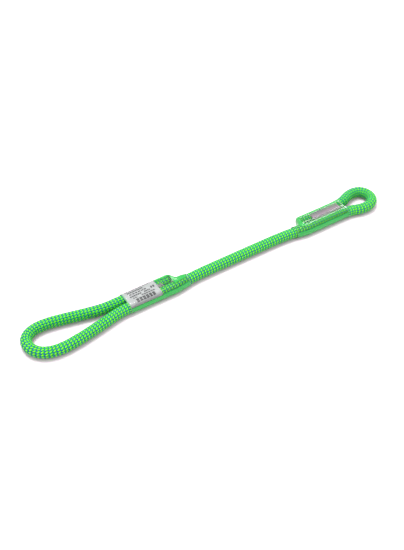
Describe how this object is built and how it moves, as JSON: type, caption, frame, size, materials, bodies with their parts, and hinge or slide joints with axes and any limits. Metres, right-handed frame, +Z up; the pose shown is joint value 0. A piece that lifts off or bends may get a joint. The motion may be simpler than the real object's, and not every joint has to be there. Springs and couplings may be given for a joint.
{
  "type": "sewn rope sling",
  "caption": "Short kernmantle rope sling with a large and a small sewn eye, each splice stitched and held in a clear shrunk sleeve.",
  "frame": {"origin": "on the surface the sling lies on, under the middle of its outline", "axes": "+X along the sling towards the small eye, +Y towards the side of the tails, +Z up out of the surface it lies on"},
  "size_m": [0.297, 0.0334, 0.009],
  "materials": {
    "rope_sheath": "braided, bright green with blue and yellow-green flecks",
    "rope_core": "white filament strands",
    "melted_end": "melted and set",
    "thread": "grey bonded sewing thread",
    "label": "satin white printed tape",
    "clear_sleeve": "clear shrunk plastic"
  },
  "bodies": {
    "big_splice": {"big_tail_sheath": "rope_sheath", "big_tail_core": "rope_core", "big_standing_sheath": "rope_sheath", "big_standing_core": "rope_core", "big_tail_seal": "melted_end", "big_needle_thread": "thread", "big_bobbin_thread": "thread", "label": "label", "big_sleeve": "clear_sleeve"},
    "big_eye": {"big_eye_sheath": "rope_sheath", "big_eye_core": "rope_core"},
    "span": {"span_sheath": "rope_sheath", "span_core": "rope_core"},
    "small_splice": {"small_standing_sheath": "rope_sheath", "small_standing_core": "rope_core", "small_tail_sheath": "rope_sheath", "small_tail_core": "rope_core", "small_tail_seal": "melted_end", "small_needle_thread": "thread", "small_bobbin_thread": "thread", "small_sleeve": "clear_sleeve"},
    "small_eye": {"small_eye_sheath": "rope_sheath", "small_eye_core": "rope_core"}
  },
  "joints": [
    {"name": "big_eye_fold", "type": "hinge", "parent": "big_splice", "child": "big_eye", "pos_m": [-0.079, 0, 0.0045], "axis": [0, 1, 0], "range_deg": [0, 90]},
    {"name": "big_span_bend", "type": "hinge", "parent": "big_splice", "child": "span", "pos_m": [-0.001, -0.00166, 0.0045], "axis": [0, 0, 1], "range_deg": [-90, 90]},
    {"name": "small_span_bend", "type": "hinge", "parent": "span", "child": "small_splice", "pos_m": [0.0485, -0.00161, 0.0045], "axis": [0, 0, 1], "range_deg": [-90, 90]},
    {"name": "small_eye_fold", "type": "hinge", "parent": "small_splice", "child": "small_eye", "pos_m": [0.125, 0, 0.0045], "axis": [0, -1, 0], "range_deg": [0, 90]}
  ]
}
